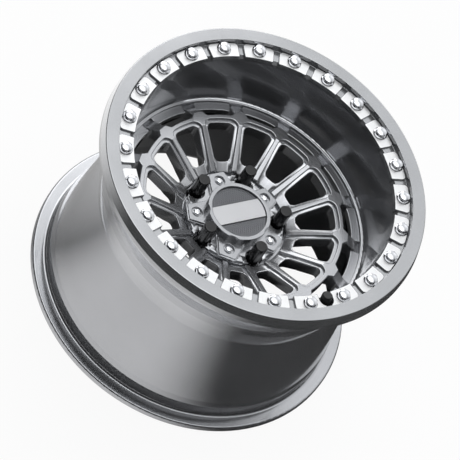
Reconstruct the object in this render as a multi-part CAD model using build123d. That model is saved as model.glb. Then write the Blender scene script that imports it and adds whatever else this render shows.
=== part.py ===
"""Forged beadlock wheel, 15 x 10 in, five lugs on 114.3 mm.

Millimetres, +Z along the axle towards the outside of the vehicle. The origin
is the centre of the hub bore on the mounting pad. The wheel lies on its
inboard flange, face up.

Angles about the axle: a lug, the valve and the middle of a window lie on -Y.
"""

from math import acos, cos, hypot, radians, sin, tan
from pathlib import Path

from build123d import *

# ---------------------------------------------------------------- dimensions
LUG_R = 57.15            # lug circle 114.3 mm
LUG_HOLE_R = 6.9         # clearance for M12 studs
LUG_POCKET_R = 11.2
BORE_R = 36.3            # hub bore 72.6 mm
BORE_LEN = 18.0
SPIGOT_R = 38.5          # register for the centre cap in front of the bore
HUB_R = 64.0
HUB_TOP = 26.0
PAD_R = 68.0             # mounting pad

SHELF_R = 190.0          # bead seat radius, 15 in rim
FLANGE_H = 18.6          # height of a flange above the seat
FLANGE_R = SHELF_R + FLANGE_H
LIP_W = 21.7             # width of the face that carries the clamp ring
FRONT_Z = 122.5          # height of that face
REAR_Z = -139.0
DISH_TAPER = 3.3
DISH_R = (SHELF_R - LIP_W, SHELF_R - LIP_W - DISH_TAPER)  # at the lip and at the foot

FLOOR_W = 10.0           # floor between the tabs at the foot of the dish
FLOOR_R = (DISH_R[1] - FLOOR_W - 5.5, DISH_R[1] - 5.5)
FLOOR_Z = 39.5
STEP_Z = 42.5            # bright step at the foot of the dish
TAB_LEN = 9.8            # tab between a node and the floor
NUB_R = FLOOR_R[0] - TAB_LEN              # outer end of a node
LINK_R = (NUB_R - 12.1, NUB_R - 6.3)      # ring that joins the spoke nodes
N_SPOKES = 15
RIDGE_IN = (HUB_R + 3.2, 27.4)            # spoke ridge at the hub (radius, height)
RIDGE_OUT = (LINK_R[0] - 7.6, 52.7)
LEDGE = 3.6              # ledge round a window below the ridge

RING_FACE_Z = FRONT_Z + 13.0
RING_LIP_Z = FRONT_Z - 6.0
RING_IN_R = SHELF_R - LIP_W
CHANNEL_R = SHELF_R - 1.0
CHANNEL_Z = FRONT_Z + 3.8
PAD_Z = FRONT_Z + 6.5    # machined pads under the bolts
BOLT_R = RING_IN_R + LIP_W / 2 + 0.25     # circle of the clamp bolts
N_BOLTS = 24
STRIP_W = 7.4            # gap between two pads

SCREW_R = 51.4
CAP_R = 41.0
CAP_TOP = 42.5

VALVE_LEAN = 10.0        # degrees, towards the axle
VALVE_SEAT = (BOLT_R - 0.7, FRONT_Z - 10.5)   # radius and height of the valve's seat
VALVE_HOLE_R = 5.65      # 11.3 mm valve hole
NOTCH_HALF = VALVE_HOLE_R + 3.35   # notch in the clamp ring round the valve

LUG_ANGLES = [270 + 72 * k for k in range(5)]
SCREW_ANGLES = [a + 36 for a in LUG_ANGLES]
SPOKE_ANGLES = [282 + 360 / N_SPOKES * k for k in range(N_SPOKES)]
WINDOW_ANGLES = [270 + 360 / N_SPOKES * k for k in range(N_SPOKES)]
BOLT_ANGLES = [277.5 + 360 / N_BOLTS * k for k in range(N_BOLTS)]
STRIP_ANGLES = [270 + 360 / N_BOLTS * k for k in range(N_BOLTS)]

OUT = Path("parts")
OUT.mkdir(exist_ok=True)


# ------------------------------------------------------------------- helpers
def outline(points, plane="xz"):
    """Closed outline; a point is (a, b) or (a, b, r) with r a corner radius."""
    pts = [(p[0], p[1], p[2] if len(p) > 2 else 0.0) for p in points]
    put = (lambda a, b: (a, 0.0, b)) if plane == "xz" else (lambda a, b: (a, b, 0.0))
    ends, arcs = [], []
    n = len(pts)
    for i, (x, y, r) in enumerate(pts):
        if r == 0:
            ends.append(((x, y), (x, y)))
            arcs.append(None)
            continue
        px, py = pts[i - 1][:2]
        qx, qy = pts[(i + 1) % n][:2]
        ux, uy = px - x, py - y
        vx, vy = qx - x, qy - y
        lu, lv = hypot(ux, uy), hypot(vx, vy)
        ux, uy, vx, vy = ux / lu, uy / lu, vx / lv, vy / lv
        half = acos(max(-1.0, min(1.0, ux * vx + uy * vy))) / 2
        t = r / tan(half)
        bx, by = ux + vx, uy + vy
        lb = hypot(bx, by)
        d = r / sin(half) - r
        ends.append(((x + ux * t, y + uy * t), (x + vx * t, y + vy * t)))
        arcs.append((x + bx / lb * d, y + by / lb * d))
    edges = []
    for i in range(n):
        a, b = ends[i]
        if arcs[i]:
            edges.append(ThreePointArc(put(*a), put(*arcs[i]), put(*b)))
        c = ends[(i + 1) % n][0]
        if hypot(c[0] - b[0], c[1] - b[1]) > 1e-6:
            edges.append(Line(put(*b), put(*c)))
    return make_face(edges)


def turned(points):
    """Solid of revolution about Z from an outline of (radius, height)."""
    return revolve(outline(points), Axis.Z)


def prism(points, z0, z1):
    """Prism on an outline in the XY plane between two heights."""
    return Pos(0, 0, z0) * extrude(outline(points, "xy"), amount=z1 - z0, dir=(0, 0, 1))


def cyl(r, z0, z1):
    return Pos(0, 0, (z0 + z1) / 2) * Cylinder(r, z1 - z0)


def spun(shape, angles):
    return [Rot(0, 0, a) * shape for a in angles]


def at_polar(shape, r, angle):
    return Pos(r * cos(radians(angle)), r * sin(radians(angle)), 0) * Rot(0, 0, angle) * shape


def polar_point(spoke, along, off):
    """Point at a distance along a spoke at +-12 degrees, off towards the window."""
    a = radians(180.0 / N_SPOKES) * (1 if spoke > 0 else -1)
    s = (cos(a), sin(a))
    nrm = (sin(a), -cos(a)) if spoke > 0 else (-sin(a), cos(a))
    return s[0] * along + nrm[0] * off, s[1] * along + nrm[1] * off


def window(r_in, r_out, off_in, off_out, c_in, c_out):
    """Window between two spokes with an arched outer end, centred on +X."""
    far = r_out + 12
    side = [polar_point(-1, r_in, off_in), polar_point(-1, far, off_out),
            polar_point(1, far, off_out), polar_point(1, r_in, off_in)]
    shape = outline(side, "xy") & Circle(r_out)
    corners = shape.vertices()
    inner = corners.filter_by(lambda v: hypot(v.X, v.Y) < r_out - 3)
    shape = fillet(inner, c_in)
    outer = shape.vertices().filter_by(lambda v: abs(hypot(v.X, v.Y) - r_out) < 0.01)
    return fillet(outer, c_out)


def up(face, z0, z1):
    return Pos(0, 0, z0) * extrude(face, amount=z1 - z0, dir=(0, 0, 1))


# --------------------------------------------------------------------- wheel
back = [(SPIGOT_R, BORE_LEN), (BORE_R, BORE_LEN), (BORE_R, 0.0),
        (PAD_R, 0.0), (PAD_R + 1.0, 5.0), (NUB_R - 17.7, RIDGE_OUT[1] - 20.2),
        (NUB_R - 5.7, RIDGE_OUT[1] - 20.2, 10.0), (FLOOR_R[0] + 2.5, FLOOR_Z - 15.5, 10.0),
        (SHELF_R - 20.8, FLOOR_Z - 33.5, 8.0), (SHELF_R - 6.2, REAR_Z + 40.0, 20.0),
        (SHELF_R - 5.1, REAR_Z + 18.0, 8.0), (FLANGE_R - 12.6, REAR_Z + 5.0, 4.0),
        (FLANGE_R - 11.1, REAR_Z, 1.0)]
outside = [(FLANGE_R - 2.6, REAR_Z, 2.0), (FLANGE_R, REAR_Z + 3.0, 2.5),
           (FLANGE_R, REAR_Z + 11.0, 3.0), (SHELF_R + 0.4, REAR_Z + 11.0, 4.5),
           (SHELF_R - 0.6, REAR_Z + 25.0, 3.0), (SHELF_R + 1.0, REAR_Z + 30.5, 3.0),
           (SHELF_R - 1.4, REAR_Z + 38.0, 6.0), (SHELF_R - 16.0, FLOOR_Z - 19.5, 12.0),
           (SHELF_R - 10.0, FLOOR_Z + 10.5, 8.0), (SHELF_R - 10.0, FLOOR_Z + 22.5, 8.0),
           (SHELF_R, FRONT_Z - 31.5, 8.0), (SHELF_R, FRONT_Z, 0.6)]
dish = [(DISH_R[0] + 1.2, FRONT_Z), (DISH_R[0], FRONT_Z - 1.2), (DISH_R[1], STEP_Z + 3.5, 6.0),
        (DISH_R[1] - 1.0, STEP_Z, 2.0), (FLOOR_R[1], STEP_Z), (FLOOR_R[1], FLOOR_Z - 3.0),
        (NUB_R, RIDGE_OUT[1] - 3.2), (NUB_R, RIDGE_OUT[1]), RIDGE_OUT, RIDGE_IN,
        (RIDGE_IN[0], HUB_TOP - 11.0), (HUB_R, HUB_TOP - 11.0), (HUB_R, HUB_TOP),
        (SPIGOT_R, HUB_TOP)]
wheel = turned(back + outside + dish)

# stepped windows between the spokes: a ledge first, then the opening
over_ledge = turned([(HUB_R - 4.0, 75), (HUB_R - 4.0, RIDGE_IN[1] - LEDGE - 3.4),
                     (RIDGE_IN[0], RIDGE_IN[1] - LEDGE),
                     (RIDGE_OUT[0], RIDGE_OUT[1] - LEDGE), (LINK_R[1], RIDGE_OUT[1] - LEDGE),
                     (LINK_R[1], 75)])
pocket = window(HUB_R - 2.0, LINK_R[0], 3.9, 2.7, 0.5, 9.0)
pockets = [p & over_ledge for p in spun(up(pocket, 5, 70), WINDOW_ANGLES)]
opening = window(HUB_R + 15.5, LINK_R[0] - 4.2, 7.7, 6.6, 6.5, 6.5)
openings = spun(up(opening, -5, 70), WINDOW_ANGLES)

# openings outside the nodes, and the floor between the tabs
half = radians(180.0 / N_SPOKES)


def tab_side(along, off):
    return polar_point(1, along, off), polar_point(-1, along, off)


shoulder = [tab_side(LINK_R[1] - 1.4, 11.6), tab_side(NUB_R - 1.5, 7.0),
            tab_side(FLOOR_R[0] + 6.5, 8.3)]
outer_shape = outline([shoulder[0][1], shoulder[1][1], shoulder[2][1],
                       shoulder[2][0], shoulder[1][0], shoulder[0][0]], "xy")
outer_shape = outer_shape & Circle(FLOOR_R[0])
outer_shape = outer_shape - Circle(LINK_R[1])
ends = outer_shape.vertices().filter_by(lambda v: abs(hypot(v.X, v.Y) - FLOOR_R[0]) < 0.01)
outer_shape = fillet(ends, 4.0)
outer_openings = spun(up(outer_shape, -5, 70), WINDOW_ANGLES)

floor_ends = (tab_side(FLOOR_R[0] - 3.5, 7.6), tab_side(FLOOR_R[1] + 6.5, 8.9))
floor_shape = outline([floor_ends[0][1], floor_ends[1][1], floor_ends[1][0], floor_ends[0][0]], "xy")
floor_shape = floor_shape & (Circle(FLOOR_R[1]) - Circle(FLOOR_R[0] - 1.0))
floor_fill = spun(up(floor_shape, FLOOR_Z - 9.5, FLOOR_Z), WINDOW_ANGLES)
floor_cut = spun(up(floor_shape, FLOOR_Z, 70), WINDOW_ANGLES)

# lug seats, cap screws, clamp bolts
seat_top = 9.0 + (LUG_POCKET_R - 0.8 - LUG_HOLE_R) / tan(radians(30))
lug_cut = turned([(0, -5), (LUG_HOLE_R, -5), (LUG_HOLE_R, 9.0), (LUG_POCKET_R - 0.8, seat_top),
                  (LUG_POCKET_R, seat_top), (LUG_POCKET_R, 60), (0, 60)])
lug_cuts = [at_polar(lug_cut, LUG_R, a) for a in LUG_ANGLES]
screw_cuts = [at_polar(cyl(2.5, HUB_TOP - 15, HUB_TOP + 14), SCREW_R, a) for a in SCREW_ANGLES]
bolt_cuts = [at_polar(cyl(4.0, FRONT_Z - 21.5, PAD_Z + 1), BOLT_R, a) for a in BOLT_ANGLES]

# valve hole: a web of 4 mm with a counterbore on each side
lean = radians(VALVE_LEAN)
valve_plane = Plane(origin=(0, -VALVE_SEAT[0], VALVE_SEAT[1]), x_dir=(1, 0, 0),
                    z_dir=(0, sin(lean), cos(lean)))
valve_at = valve_plane.location
valve_cut = turned([(0, -48), (7.0, -48), (7.0, -4), (VALVE_HOLE_R, -4), (VALVE_HOLE_R, 0),
                    (9.5, 0), (9.5, 24), (0, 24)])

wheel = wheel.cut(*outer_openings)
wheel = wheel.cut(*floor_cut)
wheel = wheel.fuse(*floor_fill)
wheel = wheel.cut(*pockets)
wheel = wheel.cut(*openings)
wheel = wheel.cut(*lug_cuts, *screw_cuts)
wheel = wheel.cut(*bolt_cuts, valve_at * valve_cut)

# ------------------------------------------------------------ beadlock ring
ring = turned([(SHELF_R + 0.2, RING_LIP_Z), (FLANGE_R, RING_LIP_Z, 2.0),
               (FLANGE_R, RING_LIP_Z + 7.5, 2.0), (FLANGE_R - 2.7, RING_FACE_Z, 1.7),
               (CHANNEL_R, RING_FACE_Z, 0.5),
               (CHANNEL_R, CHANNEL_Z), (BOLT_R - 2.4, CHANNEL_Z), (RING_IN_R + 0.7, FRONT_Z + 0.8),
               (RING_IN_R + 0.7, FRONT_Z), (SHELF_R + 0.2, FRONT_Z)])
pitch = radians(180.0 / N_BOLTS)


def strip_side(along, off):
    a = pitch
    return [(cos(a) * along + sin(a) * off, sin(a) * along - cos(a) * off),
            (cos(a) * along + sin(a) * off, -(sin(a) * along - cos(a) * off))]


pad_ends = (strip_side(RING_IN_R - 8, STRIP_W / 2), strip_side(CHANNEL_R + 7, STRIP_W / 2))
pad = outline([pad_ends[0][1], pad_ends[1][1], pad_ends[1][0], pad_ends[0][0]], "xy")
pad = pad & (Circle(CHANNEL_R - 0.8) - Circle(RING_IN_R))
pad = fillet(pad.vertices().filter_by(lambda v: hypot(v.X, v.Y) > BOLT_R), 5.0)
pad = fillet(pad.vertices().filter_by(lambda v: hypot(v.X, v.Y) < RING_IN_R + 0.5), 1.2)
ring = ring.fuse(*spun(up(pad, FRONT_Z, PAD_Z), BOLT_ANGLES))
notch_in, notch_out = RING_IN_R - 18, VALVE_SEAT[0] - 1.7 + NOTCH_HALF
notch = outline([(notch_in, -NOTCH_HALF), (notch_out, -NOTCH_HALF, NOTCH_HALF - 0.01),
                 (notch_out, NOTCH_HALF, NOTCH_HALF - 0.01), (notch_in, NOTCH_HALF)], "xy")
ring = ring.cut(*[at_polar(cyl(4.25, FRONT_Z - 12, FRONT_Z + 18), BOLT_R, a) for a in BOLT_ANGLES],
                Rot(0, 0, 270) * up(notch, FRONT_Z - 12, FRONT_Z + 18))

# flange-head bolts, 5/16 in, 25 mm under the head
hexagon = extrude(RegularPolygon(12.7 / 2, 6, major_radius=False), amount=7.4, dir=(0, 0, 1))
bolt = Pos(0, 0, PAD_Z) * (
    turned([(0, -25), (3.1, -25), (3.97, -24.1), (3.97, 0), (9.0, 0), (9.0, 0.9), (6.5, 2.2), (0, 2.2)])
    + (hexagon & turned([(0, 1), (9, 1), (9, 6.2), (5.4, 7.6), (3.0, 8.3), (0, 8.6)])))
bolts = [at_polar(bolt, BOLT_R, a) for a in BOLT_ANGLES]

# ---------------------------------------------------------------- centre cap
lobes = []
for a in SCREW_ANGLES:
    for step, z in ((0.0, HUB_TOP + 5.5), (1.5, HUB_TOP + 3.0)):
        lobe = outline([(30, -19.5 - step), (44.0, -15.6 - step),
                        (HUB_R - 1.4 + step, -10.8 - 0.8 * step, 2.5 + step / 2),
                        (HUB_R - 1.4 + step, 10.8 + 0.8 * step, 2.5 + step / 2),
                        (44.0, 15.6 + step), (30, 19.5 + step)], "xy")
        lobes.append(Rot(0, 0, a) * up(lobe, HUB_TOP, z))
cap = turned([(SPIGOT_R - 0.15, 20.5, 0.5), (SPIGOT_R - 0.15, HUB_TOP), (CAP_R, HUB_TOP),
              (CAP_R, CAP_TOP - 0.4), (CAP_R - 0.8, CAP_TOP), (35.9, CAP_TOP),
              (35.6, CAP_TOP - 0.5), (35.6, 38.0), (0, 38.0), (0, 35.0), (35.0, 35.0),
              (35.0, 20.5)])
cap = cap.fuse(*lobes)
cap = cap.cut(cyl(35.0, 10, 35.0),
              *[at_polar(cyl(12.6, 31.5, 60), SCREW_R, a) for a in SCREW_ANGLES],
              *[at_polar(cyl(7.0, 29.0, 60), SCREW_R, a) for a in SCREW_ANGLES],
              *[at_polar(cyl(2.75, 20, 40), SCREW_R, a) for a in SCREW_ANGLES],
              *[at_polar(cyl(LUG_POCKET_R, 20, 60), LUG_R, a) for a in LUG_ANGLES])
cap_disc = cyl(35.4, 38.0, 39.2)
cap_bar = up(Rectangle(80, 25.7) & Circle(35.2), 39.2, 40.9)
screw = turned([(0, 13), (2.1, 13), (2.45, 13.5), (2.45, 29.0), (4.5, 29.0), (4.5, 30.5), (0, 30.5)])
screw_head = up(RegularPolygon(4.0, 6, major_radius=False), 29.0, 33.4) & turned(
    [(0, 28), (6, 28), (6, 32.6), (3.6, 33.3), (0, 33.4)])
screws = [at_polar(screw + screw_head, SCREW_R, a) for a in SCREW_ANGLES]

# ----------------------------------------------------------------- lug nuts
def seat_z(r):
    return 9.0 + (r - LUG_HOLE_R) / tan(radians(30))


nut = turned([(5.25, seat_z(7.1)), (7.1, seat_z(7.1)), (9.6, seat_z(9.6)), (9.6, 17.0),
              (8.5, 19.0), (8.1, 52.4, 0.8), (7.0, 53.6, 0.8), (0, 53.6), (0, 47.0), (5.25, 44.0)])
flute = Pos(8.75, 0, 0) * cyl(1.25, 21, 60)
nut = nut.cut(*spun(flute, [45 * k for k in range(8)]))
nuts = [at_polar(nut, LUG_R, a) for a in LUG_ANGLES]

# --------------------------------------------------------------------- valve
# local heights along the valve: 0 is the seat, the stem's tip is at 21.5
valve_body = turned([(3.6, -11.5), (5.0, -11.5), (6.7, -5.5), (6.7, -4.0), (VALVE_HOLE_R, -4.0),
                     (VALVE_HOLE_R, 0.0), (7.7, 0.0), (7.7, 2.0), (5.4, 8.5, 1.0), (3.6, 8.5)])
valve_stem = turned([(2.45, -9.0), (3.6, -9.0), (3.6, 9.0), (3.85, 9.0), (3.85, 21.2),
                     (3.55, 21.5), (2.45, 21.5)])
stem_seat = turned([(2.1, 12.0), (2.45, 12.6), (2.45, 11.0), (2.1, 11.0)])
valve_stem = valve_stem + stem_seat
core_plug = turned([(0.85, 15.5), (2.4, 15.5), (2.4, 19.3), (2.1, 19.6), (0.85, 19.6)])
core_plug = core_plug - Pos(0, 0, 19.0) * Box(1.5, 6, 1.4)
core_gasket = turned([(1.75, 12.6), (2.1, 12.6), (2.4, 15.4), (1.75, 15.4)])
core_barrel = turned([(1.25, 5.0), (1.7, 5.0), (1.7, 15.5), (0.85, 15.5), (0.85, 14.7), (1.25, 14.7)])
core_ledge = turned([(0.75, 6.4), (1.25, 6.4), (1.25, 6.9), (0.75, 6.9)])
core_barrel = core_barrel + core_ledge
core_pin = turned([(0, 2.2), (0.5, 2.2), (0.5, 12.6), (1.05, 12.6), (1.05, 13.4), (0.5, 13.4),
                   (0.5, 20.6), (0.75, 20.6), (0.75, 21.1), (0, 21.1)])
core_cup = turned([(0.5, 3.2), (1.7, 3.2), (1.7, 4.6), (1.45, 4.6), (1.45, 3.7), (0.5, 3.7)])
core_seal = turned([(0.5, 3.7), (1.45, 3.7), (1.45, 4.95), (0.5, 4.95)])
coil = Pos(0, 0, 7.05) * Helix(pitch=0.9, height=5.4, radius=0.88)
wire = Plane(origin=coil @ 0, z_dir=coil % 0) * Circle(0.13)
core_spring = sweep(wire, path=coil)
valve_cap = turned([(4.05, 9.4), (6.2, 9.4), (6.6, 9.9), (6.6, 22.0), (5.6, 23.6, 0.8), (0, 23.6),
                    (0, 22.7), (4.05, 22.7)])
grip = Pos(6.95, 0, 0) * cyl(0.55, 9, 22.2)
valve_cap = valve_cap.cut(*spun(grip, [30 * k for k in range(12)]))
valve_cap_seal = turned([(1.6, 21.6), (3.9, 21.6), (3.9, 22.65), (1.6, 22.65)])


def save(name, shapes):
    solids = []
    for s in shapes:
        solids += list(s.solids())
    body = solids[0] if len(solids) == 1 else Compound(children=solids)
    export_step(body, str(OUT / f"{name}.step"))


save("wheel", [wheel])
save("beadlock_ring", [ring])
save("beadlock_bolts", bolts)
save("centre_cap", [cap])
save("cap_disc", [cap_disc])
save("cap_bar", [cap_bar])
save("cap_screws", screws)
save("lug_nuts", nuts)
for name, shape in (("valve_body", valve_body), ("valve_stem", valve_stem),
                    ("core_plug", core_plug), ("core_gasket", core_gasket),
                    ("core_barrel", core_barrel), ("core_pin", core_pin),
                    ("core_cup", core_cup), ("core_seal", core_seal),
                    ("core_spring", core_spring), ("valve_cap", valve_cap),
                    ("valve_cap_seal", valve_cap_seal)):
    save(name, [valve_at * shape])
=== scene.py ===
"""Beadlock wheel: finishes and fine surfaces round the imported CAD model."""

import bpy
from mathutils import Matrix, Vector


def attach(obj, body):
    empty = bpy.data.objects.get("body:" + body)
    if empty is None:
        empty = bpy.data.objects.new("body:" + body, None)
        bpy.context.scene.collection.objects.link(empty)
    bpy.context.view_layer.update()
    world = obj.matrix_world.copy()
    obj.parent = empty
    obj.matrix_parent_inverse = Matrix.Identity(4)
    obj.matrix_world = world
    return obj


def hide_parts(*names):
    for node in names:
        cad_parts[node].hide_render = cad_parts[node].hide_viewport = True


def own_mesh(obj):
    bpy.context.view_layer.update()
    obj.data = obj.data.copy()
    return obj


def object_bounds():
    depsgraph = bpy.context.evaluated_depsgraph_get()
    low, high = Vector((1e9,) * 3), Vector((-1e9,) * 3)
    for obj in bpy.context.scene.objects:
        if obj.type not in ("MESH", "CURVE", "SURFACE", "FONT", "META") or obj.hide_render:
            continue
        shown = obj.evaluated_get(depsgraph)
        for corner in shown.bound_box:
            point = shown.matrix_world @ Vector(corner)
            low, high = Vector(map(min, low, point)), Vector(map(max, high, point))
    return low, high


bl_info = {
    "name": "Beadlock Wheel",
    "version": (1, 0, 0),
    "blender": (4, 5, 0),
    "location": "View3D > Sidebar > Wheel",
    "description": "Builds the looks of a forged beadlock wheel round its CAD frame",
    "category": "Object",
}

from math import radians

import bmesh
import bpy
import numpy as np
from bpy.props import FloatProperty, FloatVectorProperty, IntProperty, PointerProperty
from mathutils import Matrix

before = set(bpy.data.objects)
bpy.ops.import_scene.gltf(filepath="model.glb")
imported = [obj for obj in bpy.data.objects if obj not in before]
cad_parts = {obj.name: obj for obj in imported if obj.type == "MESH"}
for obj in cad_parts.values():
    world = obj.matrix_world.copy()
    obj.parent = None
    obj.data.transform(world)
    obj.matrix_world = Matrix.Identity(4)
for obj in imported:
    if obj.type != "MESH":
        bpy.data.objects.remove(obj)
CAD_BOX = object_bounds()
MM = 0.001
ROOT = "wheel_body"
FREE = 99.0  # radius in mm that limits nothing
VALVE_TURN = 270.0  # the valve's side of the wheel, in degrees about the axle
LUG_TURNS = VALVE_TURN + 72 * np.arange(5)
SCREW_TURNS = LUG_TURNS + 36


def srgb(code):
    """Linear RGBA of an sRGB hex value such as "C0C1C4"."""
    v = np.array([int(code[i:i + 2], 16) for i in (0, 2, 4)]) / 255
    lin = np.where(v <= 0.04045, v / 12.92, ((v + 0.055) / 1.055) ** 2.4)
    return (*lin.tolist(), 1.0)


def colour(label, code, about):
    """Colour property with an sRGB hex value as its default."""
    return FloatVectorProperty(name=label, description=about, subtype="COLOR", size=4,
                               min=0.0, max=1.0, default=srgb(code))


def length(label, mm, about):
    """Length property with its default in millimetres."""
    return FloatProperty(name=label, description=about, default=mm * MM,
                         unit="LENGTH", precision=5)


# ---------------------------------------------------------------- properties
class WheelSizes(bpy.types.PropertyGroup):
    """Sizes of the wheel's visible surfaces."""
    seat_radius: length("Seat radius", 190.0, "Bead seat under the clamp ring")
    ring_radius: length("Ring radius", 208.6, "Outside of the clamp ring")
    channel_radius: length("Channel radius", 189.0, "Outer wall of the channel that holds the pads")
    ring_bore: length("Ring bore", 168.3, "Inner edge of the pads")
    bolt_circle: length("Bolt circle", 179.4, "Radius of the circle of clamp bolts")
    front_height: length("Front height", 122.5, "Height of the face that carries the ring")
    face_height: length("Face height", 135.5, "Height of the ring's face")
    pad_height: length("Pad height", 129.0, "Height of the machined pads")
    strip_width: length("Strip width", 7.4, "Width of the painted strips between two pads")
    notch_radius: length("Notch radius", 9.0, "Half width of the notch round the valve")
    lug_circle: length("Lug circle", 57.15, "Radius of the circle of lug nuts")
    screw_circle: length("Screw circle", 51.4, "Radius of the circle of cap screws")
    ease: length("Eased edges", 0.6, "Radius of the broken edges of the ring and its pads")
    edge_round: length("Edge rounding", 1.2, "Width of the rounded edges of spokes and windows")
    bolt_count: IntProperty(name="Clamp bolts", description="Bolts round the ring", default=24)


class WheelColours(bpy.types.PropertyGroup):
    """Colours of the wheel's finishes."""
    coat: colour("Coat", "B4B5B8", "Satin coat on the forging")
    ring_coat: colour("Ring coat", "ACADAF", "Satin coat on the clamp ring")
    cap: colour("Cap coat", "A9AAAD", "Satin coat on the centre cap")
    pad: colour("Pads", "EDEDED", "Bare machined pads")
    plate: colour("Plating", "C9CACD", "Bright plated bolts and screws")
    nut: colour("Lug nuts", "0B0B0D", "Black lug nuts")
    disc: colour("Cap disc", "66676A", "Dimpled disc of the cap")
    bar: colour("Cap bar", "B4B4B6", "Plain bar across the cap")
    rubber: colour("Rubber", "141414", "Valve rubber and valve cap")
    gasket: colour("Gasket", "DEDEDA", "Nylon gasket of the valve core")
    brass: colour("Brass", "B98F45", "Valve stem and core")


def colours():
    """The scene's colours."""
    return bpy.context.scene.wheel_colours


def mm(name):
    """One of the scene's sizes, in millimetres."""
    return getattr(bpy.context.scene.wheel_sizes, name) / MM


def bolt_count():
    """The number of clamp bolts, and of pads."""
    return bpy.context.scene.wheel_sizes.bolt_count


# -------------------------------------------------------------------- shapes
def unit(v):
    """Vectors v / |v| along the last axis."""
    return v / np.maximum(np.linalg.norm(v, axis=-1, keepdims=True), 1e-12)


def rounded(corners, steps=5):
    """Closed outline through (a, b, r) corners. Each corner becomes an arc of
    radius r that touches both sides at r / tan(half the corner's angle)."""
    c = np.asarray(corners, float)
    p, r = c[:, :2], c[:, 2:]
    back, on = unit(np.roll(p, 1, 0) - p), unit(np.roll(p, -1, 0) - p)
    half = np.arccos(np.clip((back * on).sum(1, keepdims=True), -1, 1)) / 2
    t = r / np.tan(half)
    centre = p + unit(back + on) * r / np.sin(half)
    sweep = np.maximum(np.pi - 2 * half, 1e-6)[:, None]
    u = np.linspace(0, 1, steps)[None, :, None]
    a, b = (p + back * t - centre)[:, None], (p + on * t - centre)[:, None]
    bend = (np.sin((1 - u) * sweep) * a + np.sin(u * sweep) * b) / np.sin(sweep)
    return (centre[:, None] + bend).reshape(-1, 2)


def grid(points, wrap_u=True, wrap_v=False):
    """Vertices and quads of a surface given as points[u, v]."""
    nu, nv = points.shape[:2]
    i = np.arange(nu if wrap_u else nu - 1)[:, None]
    j = np.arange(nv if wrap_v else nv - 1)[None, :]
    i2, j2 = (i + 1) % nu, (j + 1) % nv
    faces = np.stack([i * nv + j, i2 * nv + j, i2 * nv + j2, i * nv + j2], -1)
    return points.reshape(-1, 3), faces.reshape(-1, 4)


def spread(points, radius, angles):
    """Copies of a shape, each turned by its angle and moved out to a radius."""
    a = np.radians(np.asarray(angles, float)).reshape((-1,) + (1,) * (points.ndim - 1))
    x, y, z = points[..., 0] + radius, points[..., 1], points[..., 2]
    return np.stack([x * np.cos(a) - y * np.sin(a),
                     x * np.sin(a) + y * np.cos(a), z + 0 * a], -1)


def round_array(verts, polys, radius, angles):
    """Copies of a shape round the axle: its points moved out to a radius and
    turned by each angle, its faces counted on from copy to copy."""
    polys = np.asarray(polys)
    step = len(verts) * np.arange(len(angles))[:, None, None]
    faces = (polys[None] + step).reshape(-1, polys.shape[-1])
    return spread(verts, radius, angles).reshape(-1, 3), faces


def arc(radius, first, last, count):
    """Points on a circle about the axle between two angles in degrees."""
    a = np.radians(np.linspace(first, last, count))
    return np.stack([radius * np.cos(a), radius * np.sin(a)], -1)


def without_repeats(outline):
    """The outline without points that repeat the one before."""
    gap = np.linalg.norm(outline - np.roll(outline, 1, 0), axis=1)
    return outline[gap > 1e-4]


def inset(outline, by):
    """The outline, anticlockwise, moved inwards along its mean normals, by
    more at a corner, up to by / 0.3."""
    on, back = np.roll(outline, -1, 0) - outline, outline - np.roll(outline, 1, 0)
    t = unit(unit(on) + unit(back))
    lean = np.clip((t * unit(on)).sum(1, keepdims=True), 0.3, 1.0)
    return outline + np.stack([-t[:, 1], t[:, 0]], -1) * by / lean


def eased(top, radius, steps=4):
    """Rows (inset, height) of a quarter round that ends flat at the top."""
    a = np.linspace(0, np.pi / 2, steps)
    return [(radius * (1 - np.cos(t)), top - radius * (1 - np.sin(t))) for t in a]


def slab(outline, rows):
    """Block on an outline: each row (inset, height) is the outline moved in
    and lifted, rows are joined by quads, and the last row is the flat top.
    Gives points, side faces, and the two end faces."""
    points = np.stack([np.concatenate([inset(outline, i), np.full((len(outline), 1), z)], 1)
                       for i, z in rows], 1)
    verts, sides = grid(points)
    n = np.arange(len(outline)) * len(rows)
    return verts, sides, [n[::-1].tolist()], [(n + len(rows) - 1).tolist()]


def hexagon(a, flats, corner):
    """Radius of a hexagon with rounded corners at angle a: flats / cos of the
    angle from the nearest flat, never more than corner."""
    off = (a + np.pi / 6) % (np.pi / 3) - np.pi / 6
    return np.minimum(flats / np.cos(off), corner)


def fluted(a, count, centre, radius):
    """Limit that cuts round flutes into a bar: each flute is a circle on the
    bar's edge, and its near side, centre cos d - sqrt(radius^2 - centre^2 sin^2 d),
    takes the place of the bar's own radius there."""
    d = (a + np.pi / count) % (2 * np.pi / count) - np.pi / count
    inside = radius ** 2 - (centre * np.sin(d)) ** 2
    cut = centre * np.cos(d) - np.sqrt(np.maximum(inside, 0))
    return np.where(inside > 0, np.minimum(FREE, cut), FREE)


def knob(profile, limit=None, count=48):
    """Turned knob: each (R, z) of the profile goes round the axis, and where
    limit(angle, z) is smaller it takes the radius's place. Ends on the axis."""
    a = np.linspace(0, 2 * np.pi, count, endpoint=False)[:, None]
    r, z = profile[None, :, 0], profile[None, :, 1]
    r = r + 0 * a if limit is None else np.minimum(r + 0 * a, limit(a, z))
    return np.stack([r * np.cos(a), r * np.sin(a), z + 0 * a], -1)


# --------------------------------------------------------------------- pieces
SEAM = 2e-6  # m, points nearer than this are one
MERGE, SLIVER = 0.35 * MM, 0.05 * MM  # points and edges too close for a round edge
FLAT, OUTER = radians(1.0), radians(30)  # most angle in a flat face, least at an edge
BORDER, FADE = 1.0, 1.5  # mm round a softened region that are merged, and reshaded


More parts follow.
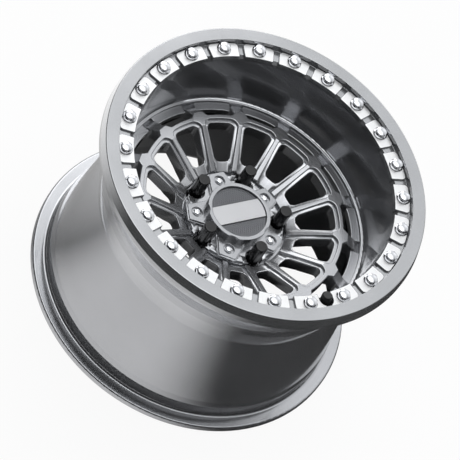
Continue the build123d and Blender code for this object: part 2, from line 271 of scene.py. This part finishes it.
def piece(name, parts, materials, body=ROOT, nodes=(), sharp=32.0):
    """One mesh object from (vertices in mm, faces, material index) parts."""
    verts, faces, index, base = [], [], [], 0
    for points, polys, mat in parts:
        verts.append(points)
        faces += [[k + base for k in f] for f in np.asarray(polys).tolist()]
        index.append(np.full(len(polys), mat))
        base += len(points)
    mesh = bpy.data.meshes.new(name)
    mesh.from_pydata((np.concatenate(verts) * MM).tolist(), [], faces)
    mesh.polygons.foreach_set("material_index", np.concatenate(index).astype(np.int32))
    return finish_mesh(name, mesh, materials, body, nodes, sharp)


def finish_mesh(name, mesh, materials, body, nodes, sharp):
    """Closes seams, turns faces outwards, smooths below the sharp angle, keeps
    large faces flat to the eye and seats the piece."""
    bm = bmesh.new()
    bm.from_mesh(mesh)
    bmesh.ops.remove_doubles(bm, verts=bm.verts, dist=SEAM)
    bmesh.ops.dissolve_degenerate(bm, dist=1e-7, edges=bm.edges)
    bmesh.ops.recalc_face_normals(bm, faces=bm.faces)
    bm.to_mesh(mesh)
    bm.free()
    mesh.shade_smooth()
    mesh.set_sharp_from_angle(angle=radians(sharp))
    for m in materials:
        mesh.materials.append(m)
    obj = bpy.data.objects.new(name, mesh)
    bpy.context.scene.collection.objects.link(obj)
    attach(obj, body)
    if nodes:
        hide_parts(*nodes)
    obj.modifiers.new("flat_faces", "WEIGHTED_NORMAL").keep_sharp = True
    return obj


def softened(name, node, coat, width, heights, radii):
    """Copy of a CAD node with rounded outer edges. The copy is merged, and
    between the given heights and radii (mm) points nearer than a third of a
    millimetre become one, flat faces become whole, and each outer edge sharper
    than 30 degrees gets a round strip of the given width on both sides. The
    turned surfaces beyond keep the normals of the CAD surfaces."""
    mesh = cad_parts[node].data.copy()
    mesh.materials.clear()
    normals = np.empty(3 * len(mesh.loops), np.float32)
    mesh.corner_normals.foreach_get("vector", normals)
    mesh.attributes.new("turned", "FLOAT_VECTOR", "CORNER").data.foreach_set("vector", normals)
    bm = bmesh.new()
    bm.from_mesh(mesh)
    bmesh.ops.remove_doubles(bm, verts=bm.verts, dist=SEAM)

    def inside(spot, spare):
        z, r = spot.z / MM, spot.xy.length / MM
        return (heights[0] - spare < z < heights[1] + spare
                and radii[0] - spare < r < radii[1] + spare)

    def near_verts():
        return [v for v in bm.verts if inside(v.co, BORDER)]

    def near_edges():
        return [e for e in bm.edges if all(inside(v.co, BORDER) for v in e.verts)]

    bmesh.ops.remove_doubles(bm, verts=near_verts(), dist=MERGE)
    bmesh.ops.dissolve_degenerate(bm, dist=SLIVER, edges=near_edges())
    bmesh.ops.dissolve_limit(bm, angle_limit=FLAT, edges=near_edges(), verts=near_verts())
    edges = [e for e in bm.edges
             if len(e.link_faces) == 2 and e.is_convex and e.calc_face_angle(0.0) > OUTER
             and inside((e.verts[0].co + e.verts[1].co) / 2, 0.0)]
    bmesh.ops.bevel(bm, geom=edges, offset=width * MM, offset_type="OFFSET", segments=2,
                    profile=0.5, affect="EDGES", clamp_overlap=False, loop_slide=True)
    bm.to_mesh(mesh)
    bm.free()
    obj = finish_mesh(name, mesh, [coat], ROOT, (node,), 38)
    normals = np.empty(3 * len(mesh.loops), np.float32)
    mesh.attributes["turned"].data.foreach_get("vector", normals)
    normals = normals.reshape(-1, 3)
    soft = obj.vertex_groups.new(name="softened")
    soft.add([v.index for v in mesh.vertices if inside(v.co, FADE)], 1.0, "REPLACE")
    for poly in mesh.polygons:
        if any(inside(mesh.vertices[v].co, FADE) for v in poly.vertices):
            # a nought leaves the normal to the mesh
            normals[poly.loop_start:poly.loop_start + poly.loop_total] = 0.0
    mesh.attributes.remove(mesh.attributes["turned"])
    mesh.normals_split_custom_set(normals.tolist())
    obj.modifiers["flat_faces"].vertex_group = soft.name
    return obj


def dress(node, mat):
    """Gives a CAD node its finish."""
    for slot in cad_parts[node].material_slots:
        slot.material = mat


# ----------------------------------------------------------------- materials
# Cycles' denoiser treats a gloss below a roughness of about 0.274 as a mirror,
# so each finish keeps its range of roughness on one side of that value.
NOISE_SPAN = (0.3, 0.7)  # the values that nearly all of a noise texture lies between
WAVE_RATE = 20  # radians by which a wave texture advances over one unit


def add(tree, kind, inputs=None, **settings):
    """Adds a shader node, sets it up and sets or links its inputs."""
    node = tree.nodes.new("ShaderNode" + kind)
    for key, value in settings.items():
        setattr(node, key, value)
    for key, value in (inputs or {}).items():
        if isinstance(value, bpy.types.NodeSocket):
            tree.links.new(value, node.inputs[key])
        else:
            node.inputs[key].default_value = value
    return node


def material(name):
    """A material by name with an empty tree, or the finished one if it exists."""
    old = bpy.data.materials.get(name)
    if old:
        return old, None
    mat = bpy.data.materials.new(name)
    mat.use_nodes = True
    mat.node_tree.nodes.clear()
    return mat, mat.node_tree


def shade(tree, inputs):
    """Principled shader to the output."""
    bsdf = add(tree, "BsdfPrincipled", inputs)
    add(tree, "OutputMaterial", {"Surface": bsdf.outputs[0]})


def per_mm(size):
    """Texture scale at which one unit is so many millimetres."""
    return 1.0 / (size * MM)


def clouds(tree, size, detail):
    """Noise in patches of about the given size in millimetres."""
    at = add(tree, "TexCoord").outputs["Object"]
    noise = add(tree, "TexNoise", {"Vector": at, "Scale": per_mm(size), "Detail": detail})
    return noise.outputs["Fac"]


def ranged(tree, value, low, high, span=NOISE_SPAN, kind="LINEAR"):
    """A value brought from its span to the range from low to high."""
    return add(tree, "MapRange", {"Value": value, "From Min": span[0], "From Max": span[1],
                                  "To Min": low, "To Max": high},
               interpolation_type=kind).outputs[0]


def bump(tree, height, strength, distance):
    """Normals of a fine relief, its depth in millimetres."""
    return add(tree, "Bump", {"Height": height, "Strength": strength,
                              "Distance": distance * MM}).outputs[0]


def satin_coat(name, base, rough=0.21):
    """Forged aluminium under metallic powder coat: part flake that mirrors the
    room softly, part plain pigment, under a clear skin that shows its
    neighbours crisply at a slant. It lies smooth, with a slow drift of tone
    and gloss from the spray gun's passes, about 60 mm apart."""
    mat, tree = material(name)
    if tree is None:
        return mat
    drift = clouds(tree, 60, 3.0)
    tone = ranged(tree, drift, 0.95, 1.03)
    mix = add(tree, "VectorMath", {0: base[:3], "Scale": tone}, operation="SCALE")
    shade(tree, {"Base Color": mix.outputs[0], "Metallic": 0.78,
                 "Roughness": ranged(tree, drift, rough - 0.03, rough + 0.03),
                 "Coat Weight": 1.0, "Coat Roughness": 0.05})
    return mat


def machined_pad(name, base):
    """Bare aluminium faced on a lathe: near white, with rings about the axle.
    Real feed marks are 0.2 mm apart; here they are drawn 2 pi x 1.4 mm apart,
    so that they show."""
    mat, tree = material(name)
    if tree is None:
        return mat
    at = add(tree, "TexCoord").outputs["Object"]
    rings = add(tree, "TexWave", {"Vector": at, "Scale": per_mm(1.4) / WAVE_RATE,
                                  "Distortion": 0.4, "Detail": 2.0},
                wave_type="RINGS", rings_direction="Z", wave_profile="SIN").outputs["Fac"]
    shade(tree, {"Base Color": base, "Metallic": 0.45,
                 "Roughness": ranged(tree, rings, 0.28, 0.4, (0.0, 1.0)),
                 "Normal": bump(tree, rings, 0.06, 0.2)})
    return mat


def bright_plate(name, base):
    """Bright zinc plate on steel: a clear mirror with faint cloudy patches."""
    mat, tree = material(name)
    if tree is None:
        return mat
    shade(tree, {"Base Color": base, "Metallic": 1.0,
                 "Roughness": ranged(tree, clouds(tree, 5, 3.0), 0.05, 0.12)})
    return mat


def black_enamel(name, base):
    """Black coated steel: dark body colour under a glossy skin with fine peel."""
    mat, tree = material(name)
    if tree is None:
        return mat
    skin = clouds(tree, 2, 2.0)
    shade(tree, {"Base Color": base, "Roughness": ranged(tree, skin, 0.13, 0.26),
                 "IOR": 1.5, "Normal": bump(tree, skin, 0.08, 0.2)})
    return mat


def dimpled_disc(name, base):
    """Dark anodised sheet, its dimples in the mesh: a dull metal with a slight
    cloudiness from the bath, in patches of about 8 mm."""
    mat, tree = material(name)
    if tree is None:
        return mat
    shade(tree, {"Base Color": base, "Metallic": 0.85,
                 "Roughness": ranged(tree, clouds(tree, 8, 2.0), 0.3, 0.36)})
    return mat


def moulded(name, base):
    """Moulded rubber or nylon: dull, with a fine mould grain."""
    mat, tree = material(name)
    if tree is None:
        return mat
    grain = clouds(tree, 0.8, 3.0)
    shade(tree, {"Base Color": base, "Roughness": ranged(tree, grain, 0.42, 0.58),
                 "IOR": 1.5, "Normal": bump(tree, grain, 0.15, 0.1)})
    return mat


def turned_brass(name, base):
    """Free-cutting brass from a lathe: warm metal with faint turning marks."""
    mat, tree = material(name)
    if tree is None:
        return mat
    at = add(tree, "TexCoord").outputs["Object"]
    marks = add(tree, "TexWave", {"Vector": at, "Scale": per_mm(0.6) / WAVE_RATE,
                                  "Distortion": 1.0}, bands_direction="Z").outputs["Fac"]
    shade(tree, {"Base Color": base, "Metallic": 1.0,
                 "Roughness": ranged(tree, marks, 0.18, 0.26, (0.0, 1.0))})
    return mat


# ----------------------------------------------------------------- operators
def toward(azimuth, elevation=0.0):
    """Unit vector at an azimuth from +X and an elevation, both in degrees."""
    a, e = np.radians(azimuth), np.radians(elevation)
    return np.array([np.cos(a) * np.cos(e), np.sin(a) * np.cos(e), np.sin(e)])


def placed(x, y, z, spot):
    """World matrix from three axes and a place in metres."""
    return Matrix([(x[i], y[i], z[i], spot[i]) for i in range(3)] + [(0, 0, 0, 1)])


def cone(half_angle):
    """Cosine of a half angle in degrees."""
    return np.cos(np.radians(half_angle))


class WHEEL_OT_stage(bpy.types.Operator):
    """Camera at the photograph's place, pale floor and soft studio light"""
    bl_idname = "wheel.stage"
    bl_label = "Stage"

    # azimuth of a painted pool of light on the floor, an emission that only glossy rays see, the
    # half angles where it starts and where it is whole (degrees), the distances between which its
    # level changes (m), and the two levels
    PAINTED_POOLS = ((200, 60, 14, 0.42, 0.56, 1.0, 0.0), (95, 80, 20, 0.22, 0.50, 0.4, 1.4))
    # azimuth, elevation and half angle of a light in the room (degrees), and
    # its strength: broad and low on the far side, overhead, low on the right,
    # and a weak fill high on the near right
    LIGHTS = ((55, 20, 46, 1.2), (70, 78, 36, 2.6), (4, 32, 34, 1.1), (294, 70, 32, 0.6))

    def execute(self, context):
        scene = context.scene
        scene.view_settings.view_transform = "Standard"
        self.camera(scene)
        self.floor(scene)
        self.softbox(scene)
        self.room(scene)
        return {"FINISHED"}

    def camera(self, scene):
        """Camera fitted to the photograph: its focal length and the picture's
        width in pixels, its axes and its place in the wheel's frame."""
        sensor, focal_px, photo_px = 36.0, 3372.62, 460
        lens = bpy.data.cameras.new("camera")
        lens.sensor_width, lens.lens = sensor, sensor * focal_px / photo_px
        lens.clip_end = 50.0
        camera = bpy.data.objects.new("camera", lens)
        right = (0.8420825, -0.3972315, 0.3648346)
        up = (0.1745712, 0.8407617, 0.5124887)
        back = (-0.5103156, -0.3678681, 0.7773358)
        place = (-2.1089913, -1.5247337, 3.2174337)
        camera.matrix_world = placed(right, up, back, place)
        scene.collection.objects.link(camera)
        scene.camera = camera

    def floor(self, scene):
        """Sheet of paper, 12 m square, under the rear flange."""
        s, z = 6.0, CAD_BOX[0].z
        mesh = bpy.data.meshes.new("floor")
        mesh.from_pydata([(-s, -s, z), (s, -s, z), (s, s, z), (-s, s, z)], [], [(0, 1, 2, 3)])
        mesh.materials.append(self.paper())
        obj = bpy.data.objects.new("floor", mesh)
        scene.collection.objects.link(obj)

    def paper(self):
        """Seamless paper: plain diffuse white, all but white to the camera. The metal sees two
        painted pools of light, an emission that only glossy rays see, and painted shade under the
        wheel."""
        mat, tree = material("pale_paper")
        if tree is None:
            return mat
        paper = add(tree, "BsdfDiffuse", {"Color": srgb("F0F0F0")})
        white = add(tree, "Emission", {"Color": (1, 1, 1, 1), "Strength": 1.0})
        at = add(tree, "TexCoord").outputs["Object"]
        flat = add(tree, "VectorMath", {0: at, 1: (1, 1, 0)}, operation="MULTIPLY").outputs[0]
        out = add(tree, "VectorMath", {0: flat}, operation="LENGTH").outputs["Value"]
        way = add(tree, "VectorMath", {0: flat}, operation="NORMALIZE").outputs[0]
        painted_glow = None
        for azimuth, wide, narrow, first, last, near, far in self.PAINTED_POOLS:
            side = add(tree, "VectorMath", {0: way, 1: tuple(toward(azimuth))},
                       operation="DOT_PRODUCT").outputs["Value"]
            patch = ranged(tree, side, 0.03, 1.0, (cone(wide), cone(narrow)), "SMOOTHSTEP")
            reach = ranged(tree, out, near, far, (first, last), "SMOOTHSTEP")
            # painted light: each pool's glow, set by azimuth and by distance from the axle
            lit = add(tree, "Math", {0: patch, 1: reach}, operation="MULTIPLY").outputs[0]
            painted_glow = lit if painted_glow is None else add(tree, "Math", {0: painted_glow, 1: lit},
                                                operation="MAXIMUM").outputs[0]
        # painted shade under the wheel: within 0.17 m of the axle the glow is 0.12 of its level,
        # whole again at 0.22 m
        under = ranged(tree, out, 0.12, 1.0, (0.17, 0.22), "SMOOTHSTEP")
        shown = add(tree, "Math", {0: painted_glow, 1: under}, operation="MULTIPLY")
        painted_pool = add(tree, "Emission", {"Color": (1, 1, 1, 1), "Strength": shown.outputs[0]})
        path = add(tree, "LightPath")
        metal = add(tree, "MixShader", {0: path.outputs["Is Glossy Ray"],
                                        1: paper.outputs[0], 2: painted_pool.outputs[0]})
        share = add(tree, "Math", {0: path.outputs["Is Camera Ray"], 1: 0.93},
                    operation="MULTIPLY")
        mix = add(tree, "MixShader", {0: share.outputs[0], 1: metal.outputs[0],
                                      2: white.outputs[0]})
        add(tree, "OutputMaterial", {"Surface": mix.outputs[0]})
        # the painted glow depends on the kind of ray, so it can't be sampled as a lamp
        mat.cycles.emission_sampling = "NONE"
        return mat

    def softbox(self, scene):
        """One area light on the far side, 1.6 m from the axle."""
        lamp = bpy.data.lights.new("softbox_far", "AREA")
        lamp.shape, lamp.size, lamp.size_y, lamp.energy = "RECTANGLE", 1.0, 0.7, 4
        obj = bpy.data.objects.new("softbox_far", lamp)
        z = toward(66, 34)
        x = unit(np.cross([0, 0, 1.0], z))
        obj.matrix_world = placed(x, np.cross(z, x), z, z * 1.6)
        scene.collection.objects.link(obj)

    def room(self, scene):
        """Dark room with a few soft lights, plain white to the camera."""
        world = bpy.data.worlds.new("studio")
        world.use_nodes = True
        tree = world.node_tree
        tree.nodes.clear()
        way = add(tree, "TexCoord").outputs["Generated"]
        level = None
        for azimuth, elevation, reach, strength in self.LIGHTS:
            facing = add(tree, "VectorMath", {0: way, 1: tuple(toward(azimuth, elevation))},
                         operation="DOT_PRODUCT").outputs["Value"]
            lobe = ranged(tree, facing, 0.006, strength, (cone(reach), 1.0), "SMOOTHSTEP")
            level = lobe if level is None else add(tree, "Math", {0: level, 1: lobe}).outputs[0]
        dome = add(tree, "Background", {"Color": (0.97, 0.985, 1, 1), "Strength": level})
        white = add(tree, "Background", {"Color": (1, 1, 1, 1), "Strength": 1.0})
        seen = add(tree, "LightPath").outputs["Is Camera Ray"]
        mix = add(tree, "MixShader", {0: seen, 1: dome.outputs[0], 2: white.outputs[0]})
        add(tree, "OutputWorld", {"Surface": mix.outputs[0]})
        scene.world = world


class WHEEL_OT_forging(bpy.types.Operator):
    """Forged wheel with its barrel, dish and spokes"""
    bl_idname = "wheel.forging"
    bl_label = "Forging"

    def execute(self, context):
        coat = satin_coat("satin_forging", colours().coat)
        softened("forging", "wheel", coat, mm("edge_round"),
                 heights=(20, 60), radii=(60, 160.8))
        return {"FINISHED"}


class WHEEL_OT_clamp_ring(bpy.types.Operator):
    """Clamp ring with its machined pads"""
    bl_idname = "wheel.clamp_ring"
    bl_label = "Clamp ring"

    def execute(self, context):
        coat = satin_coat("satin_ring", colours().ring_coat)
        bare = machined_pad("machined_pads", colours().pad)
        piece("clamp_ring", [self.body(), *self.pads()], [coat, bare],
              nodes=("beadlock_ring",))
        return {"FINISHED"}

    def notch_size(self):
        """Half width of the notch, and how far its round end's centre is out."""
        return mm("notch_radius"), mm("bolt_circle") - 2.4

    def notch(self, turn):
        """Inner limit of the ring beside the valve, turn being the angle from
        it: the ray meets either the notch's straight side, R = w / sin, or the
        round end, R = c cos + sqrt(w^2 - c^2 sin^2)."""
        w, c = self.notch_size()
        s = np.maximum(np.abs(np.sin(turn)), 1e-6)
        end = c * np.cos(turn) + np.sqrt(np.maximum(w * w - (c * s) ** 2, 0))
        return np.where(np.cos(turn) > 0, np.where(c * s < w, end, w / s), 0.0)

    def body(self):
        """Turned profile of the ring, pushed out to the notch's edge where the
        notch is: points (max(R, notch) cos a, max(R, notch) sin a, z). The
        steps round the axle are finer beside the notch."""
        seat, out, wall = mm("seat_radius") + 0.2, mm("ring_radius"), mm("channel_radius")
        bore, e = mm("ring_bore") + 0.7, mm("ease")
        low, face = mm("front_height"), mm("face_height")
        profile = rounded([(seat, low - 6, e), (out, low - 6, 2.0), (out, low + 1.5, 2.0),
                           (out - 2.7, face, 1.7), (wall, face, e), (wall, low + 3.8, 0.8),
                           (bore + 4.2, low + 3.8, 1.0), (bore, low + 0.5, 0.3),
                           (bore, low, 0.1), (seat, low, 0.3)])
        fine = VALVE_TURN + np.linspace(-3.2, 3.2, 49)
        a = np.radians(np.unique(np.concatenate([np.arange(480) * 0.75, fine])))[:, None]
        r = np.maximum(profile[None, :, 0], self.notch(a + np.pi / 2))
        points = np.stack([r * np.cos(a), r * np.sin(a), profile[None, :, 1] + 0 * a], -1)
        return (*grid(points, True, True), 0)

    def side(self, along, off):
        """Point off beside the ray that halves a strip, in the pad's own frame."""
        p = np.pi / bolt_count()
        return np.stack([np.cos(p) * along + np.sin(p) * off,
                         np.sin(p) * along - np.cos(p) * off], -1)

    def cornered(self, points, first, last):
        """Points with corner radii: those of the first and the last, else nought."""
        r = np.zeros((len(points), 1))
        r[0], r[-1] = first, last
        return np.concatenate([points, r], 1)

    def pads(self):
        """Raised pads under the bolts, as blocks with eased edges. The sides
        keep half a strip from the rays between two bolts; beside the valve
        one side follows the notch."""
        inner, outer = mm("ring_bore"), mm("channel_radius") - 0.8
        half = mm("strip_width") / 2
        step = 180.0 / bolt_count()
        a_in = step - np.degrees(np.arcsin(half / inner))
        a_out = step - np.degrees(np.arcsin(half / outer))
        far = self.cornered(arc(outer, -a_out, a_out, 7), 5.0, 5.0)
        near = self.cornered(arc(inner, a_in, -a_in, 7), 1.2, 1.2)
        plain = without_repeats(rounded(np.concatenate([far, near])))
        w, c = self.notch_size()
        t = np.linspace(np.pi / 2, np.arcsin(half / w), 9)
        along = np.concatenate([[np.sqrt(inner ** 2 - w * w)], c + w * np.cos(t),
                                [np.sqrt(outer ** 2 - half ** 2)]])
        off = np.concatenate([[w], w * np.sin(t), [half]])
        cut = self.cornered(self.side(along, off) * (1, -1), 0.8, 1.5)
        a_cut = -np.degrees(np.arctan2(cut[0, 1], cut[0, 0]))
        back = self.cornered(arc(inner, a_in, -a_cut, 6)[:-1], 1.2, 0.0)
        beside = without_repeats(rounded(np.concatenate([cut, far[1:], back])))
        mirrored = beside[::-1] * (1, -1)
        turns = VALVE_TURN + step + 2 * step * np.arange(bolt_count())
        rows = [(0.0, mm("front_height") + 0.1), *eased(mm("pad_height"), mm("ease"))]
        parts = []
        for outline, angles in ((plain, turns[1:-1]), (beside, turns[:1]), (mirrored, turns[-1:])):
            verts, sides, bottom, top = slab(outline, rows)
            parts += [(*round_array(verts, faces, 0.0, angles), mat)
                      for faces, mat in ((sides, 0), (bottom, 0), (top, 1))]
        return parts


class WHEEL_OT_fasteners(bpy.types.Operator):
    """Clamp bolts and cap screws"""
    bl_idname = "wheel.fasteners"
    bl_label = "Bolts and screws"

    # (R, z) from the tip over the flange to the domed head; z from the pad
    BOLT = np.array([(0, -25), (3.1, -25), (3.97, -24.1), (3.97, 0), (8.7, 0), (8.95, 0.12),
                     (9, 0.35), (9, 0.7), (8.85, 0.95), (8.4, 1.2), (7.4, 1.75), (7.3, 1.8),
                     (7.3, 1.9), (7.3, 3.8), (7.3, 5.5), (7.1, 5.85), (6.5, 6.2), (5.6, 6.55),
                     (4.4, 6.9), (3, 7.2), (1.5, 7.35), (0, 7.4)])
    # the same for a cap screw; z in the wheel's frame
    SCREW = np.array([(0, 13), (2.1, 13), (2.45, 13.5), (2.45, 29), (4.6, 29), (4.75, 29.2),
                      (4.75, 30.2), (4.6, 30.5), (4.6, 30.6), (4.6, 32.3), (4.3, 32.65),
                      (3.6, 33), (2, 33.32), (0, 33.4)])

    def execute(self, context):
        plate = bright_plate("bright_zinc_plate", colours().plate)
        turns = VALVE_TURN + 360 / bolt_count() * (np.arange(bolt_count()) + 0.5)
        bolt = self.headed(self.BOLT + (0, mm("pad_height")), mm("pad_height") + 1.85,
                           6.35, 7.1, 72)
        piece("clamp_bolts", [(*round_array(*bolt, mm("bolt_circle"), turns), 0)], [plate],
              nodes=("beadlock_bolts",), sharp=40)
        screw = self.headed(self.SCREW, 30.55, 4.0, 4.45, 60)
        piece("cap_bolts", [(*round_array(*screw, mm("screw_circle"), SCREW_TURNS), 0)], [plate],
              nodes=("cap_screws",), sharp=40)
        return {"FINISHED"}

    def headed(self, profile, above, flats, corner, count):
        """Turned bolt that is a hexagon above a height."""
        return grid(knob(profile, lambda a, z: np.where(z > above, hexagon(a, flats, corner), FREE),
                         count))


class WHEEL_OT_lug_nuts(bpy.types.Operator):
    """Splined lug nuts"""
    bl_idname = "wheel.lug_nuts"
    bl_label = "Lug nuts"

    # (R, z) from the end of the thread over the cone seat to the closed top
    NUT = np.array([(0, 47), (5.25, 44), (5.25, 9.4), (7.1, 9.4), (9.6, 13.7), (9.6, 16.6),
                    (9.45, 17.1), (8.65, 18.75), (8.5, 19.1), (8.47, 20.9), (8.46, 21.1),
                    (8.4, 26), (8.3, 36), (8.15, 50), (8.1, 51.8), (8, 52.4), (7.75, 52.95),
                    (7.3, 53.4), (6.8, 53.58), (6.4, 53.6), (3, 53.6), (0, 53.6)])
    SPLINES_FROM = 21  # mm, the height above which the nut is splined

    def execute(self, context):
        black = black_enamel("black_nut_coat", colours().nut)
        nut = grid(knob(self.NUT, self.splines, 128))
        piece("splined_nuts", [(*round_array(*nut, mm("lug_circle"), LUG_TURNS), 0)], [black],
              nodes=("lug_nuts",), sharp=40)
        return {"FINISHED"}

    def splines(self, a, z):
        """Limit that cuts eight flutes into the nut's upper part."""
        return np.where(z > self.SPLINES_FROM, fluted(a, 8, 8.75, 1.25), FREE)


class WHEEL_OT_centre_cap(bpy.types.Operator):
    """Centre cap with its dimpled disc and plain bar"""
    bl_idname = "wheel.centre_cap"
    bl_label = "Centre cap"

    def execute(self, context):
        coat = satin_coat("satin_cap", colours().cap)
        softened("cap_casting", "centre_cap", coat, mm("edge_round") / 2,
                 heights=(24, 50), radii=(30, 66))
        self.disc()
        self.bar()
        return {"FINISHED"}

    def disc(self):
        """Flat disc with an eased rim, its top pressed down by the dimples."""
        top, rings = 39.2, 110
        rim = [(0, 38), (35.4, 38), (35.4, 39), (35.25, top)]
        face = np.stack([np.linspace(35.1, 0, rings), np.full(rings, top)], 1)
        points = knob(np.concatenate([rim, face]), count=600)
        points[:, len(rim):, 2] -= self.dimples(points[:, len(rim):, 0], points[:, len(rim):, 1])
        piece("dimpled_disc", [(*grid(points), 0)],
              [dimpled_disc("dimpled_sheet", colours().disc)],
              nodes=("cap_disc",))

    def dimples(self, x, y, pitch=2.9, reach=1.2, depth=0.5):
        """Depth of round dents on a triangular grid: depth (1 - (d / reach)^2)
        inside the reach, d being the distance to the nearest grid point, taken
        from two rectangular grids that interleave. They fade over the last
        0.8 mm before the rim."""
        w, h = pitch, pitch * np.sqrt(3)
        d = [(((x + k * w / 2) % w) - w / 2) ** 2 + (((y + k * h / 2) % h) - h / 2) ** 2
             for k in (0, 1)]
        edge = np.clip((35.0 - np.hypot(x, y)) / 0.8, 0, 1)
        return depth * edge * np.maximum(1 - np.minimum(*d) / reach ** 2, 0)

    def bar(self):
        """Plain bar with straight sides and round ends that follow the disc."""
        rim, half = 35.2, 12.85
        a = np.degrees(np.arctan2(half, np.sqrt(rim ** 2 - half ** 2)))
        ends = [arc(rim, -a, a, 25), arc(rim, 180 - a, 180 + a, 25)]
        outline = without_repeats(np.concatenate(ends))
        verts, *faces = slab(outline, [(0, 39.0), *eased(40.9, 0.5)])
        piece("plain_bar", [(verts, f, 0) for f in faces],
              [satin_coat("satin_bar", colours().bar, 0.36)],
              nodes=("cap_bar",))


class WHEEL_OT_valve(bpy.types.Operator):
    """Tyre valve with its cap and core"""
    bl_idname = "wheel.valve"
    bl_label = "Valve"

    # (R, z) of the valve cap along the valve's axis, inside first
    CAP = np.array([(0, 22.7), (4.05, 22.7), (4.05, 9.4), (6.1, 9.4), (6.45, 9.6), (6.6, 10),
                    (6.6, 16), (6.6, 22), (6.5, 22.4), (6.2, 22.9), (5.7, 23.35), (5, 23.58),
                    (4.4, 23.6), (2, 23.6), (0, 23.6)])
    FLUTES_TO = 22.2  # mm along the axis, where the cap's flutes end

    def execute(self, context):
        rubber = moulded("moulded_rubber", colours().rubber)
        brass = turned_brass("turned_brass", colours().brass)
        for node in ("valve_body", "valve_cap_seal", "core_seal"):
            dress(node, rubber)
        for node in ("valve_stem", "core_plug", "core_barrel", "core_pin", "core_cup"):
            dress(node, brass)
        dress("core_gasket", moulded("white_nylon", colours().gasket))
        cap = grid(self.seated(knob(self.CAP, self.flutes, 144)))
        piece("fluted_valve_cap", [(*cap, 0)], [moulded("moulded_nylon", colours().rubber)],
              body="cap_body", nodes=("valve_cap",))
        coil = grid(self.seated(self.coil()), False, True)
        spring = piece("coil_spring", [(*coil, 0)], [bright_plate("spring_wire", colours().plate)],
                       nodes=("core_spring",))
        foot, top = self.seated(np.array([[0, 0, 6.9], [0, 0, 7.9]])) * MM
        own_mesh(spring)
        return {"FINISHED"}

    def flutes(self, a, z):
        """Limit that cuts twelve flutes into the cap's wall."""
        return np.where(z < self.FLUTES_TO, fluted(a, 12, 6.95, 0.55), FREE)

    def seated(self, points):
        """Points given along the valve's own axis, which leans 10 degrees
        towards the axle, with z = 0 at the valve's seat."""
        lean = radians(10.0)
        up = np.array([0, np.sin(lean), np.cos(lean)])
        side = np.array([0, np.cos(lean), -np.sin(lean)])
        seat = np.array([0, -(mm("bolt_circle") - 0.7), mm("front_height") - 10.5])
        return (seat + points[..., :1] * (1.0, 0, 0) + points[..., 1:2] * side
                + points[..., 2:] * up)

    def coil(self, radius=0.88, pitch=0.9, turns=6, wire=0.13, foot=7.05):
        """Round wire on a helix: centre c(t) = (r cos t, r sin t, foot + pitch t
        / 2 pi), wire point c + w (n cos u + b sin u) with n away from the axis
        and b = tangent x n. The wire's radius w is nought at both ends."""
        t = np.linspace(0, 2 * np.pi * turns, 32 * turns + 1)
        t = np.concatenate([t[:1], t, t[-1:]])[:, None]
        u = np.linspace(0, 2 * np.pi, 16, endpoint=False)[None, :, None]
        w = np.full((len(t), 1, 1), wire)
        w[[0, -1]] = 0.0
        centre = np.concatenate([radius * np.cos(t), radius * np.sin(t),
                                 foot + pitch * t / (2 * np.pi)], 1)
        n = np.concatenate([np.cos(t), np.sin(t), 0 * t], 1)
        rise = 0 * t + pitch / (2 * np.pi * radius)
        b = np.cross(unit(np.concatenate([-np.sin(t), np.cos(t), rise], 1)), n)
        return centre[:, None] + w * (np.cos(u) * n[:, None] + np.sin(u) * b[:, None])


class WHEEL_PT_sidebar(bpy.types.Panel):
    """Lists the wheel's pieces and their settings"""
    bl_idname = "WHEEL_PT_sidebar"
    bl_label = "Beadlock wheel"
    bl_space_type = "VIEW_3D"
    bl_region_type = "UI"
    bl_category = "Wheel"

    def draw(self, context):
        for op in OPERATORS:
            self.layout.operator(op.bl_idname)
        for group in (context.scene.wheel_sizes, context.scene.wheel_colours):
            box = self.layout.box()
            for name in group.__annotations__:
                box.prop(group, name)


OPERATORS = (WHEEL_OT_forging, WHEEL_OT_clamp_ring, WHEEL_OT_fasteners, WHEEL_OT_lug_nuts,
             WHEEL_OT_centre_cap, WHEEL_OT_valve, WHEEL_OT_stage)
CLASSES = (WheelSizes, WheelColours, *OPERATORS, WHEEL_PT_sidebar)


def register():
    for cls in CLASSES:
        bpy.utils.register_class(cls)
    bpy.types.Scene.wheel_sizes = PointerProperty(type=WheelSizes)
    bpy.types.Scene.wheel_colours = PointerProperty(type=WheelColours)


def unregister():
    del bpy.types.Scene.wheel_colours
    del bpy.types.Scene.wheel_sizes
    for cls in reversed(CLASSES):
        bpy.utils.unregister_class(cls)


def main():
    register()
    bpy.ops.wheel.forging()
    bpy.ops.wheel.clamp_ring()
    bpy.ops.wheel.fasteners()
    bpy.ops.wheel.lug_nuts()
    bpy.ops.wheel.centre_cap()
    bpy.ops.wheel.valve()
    bpy.ops.wheel.stage()


if __name__ == "__main__":
    main()
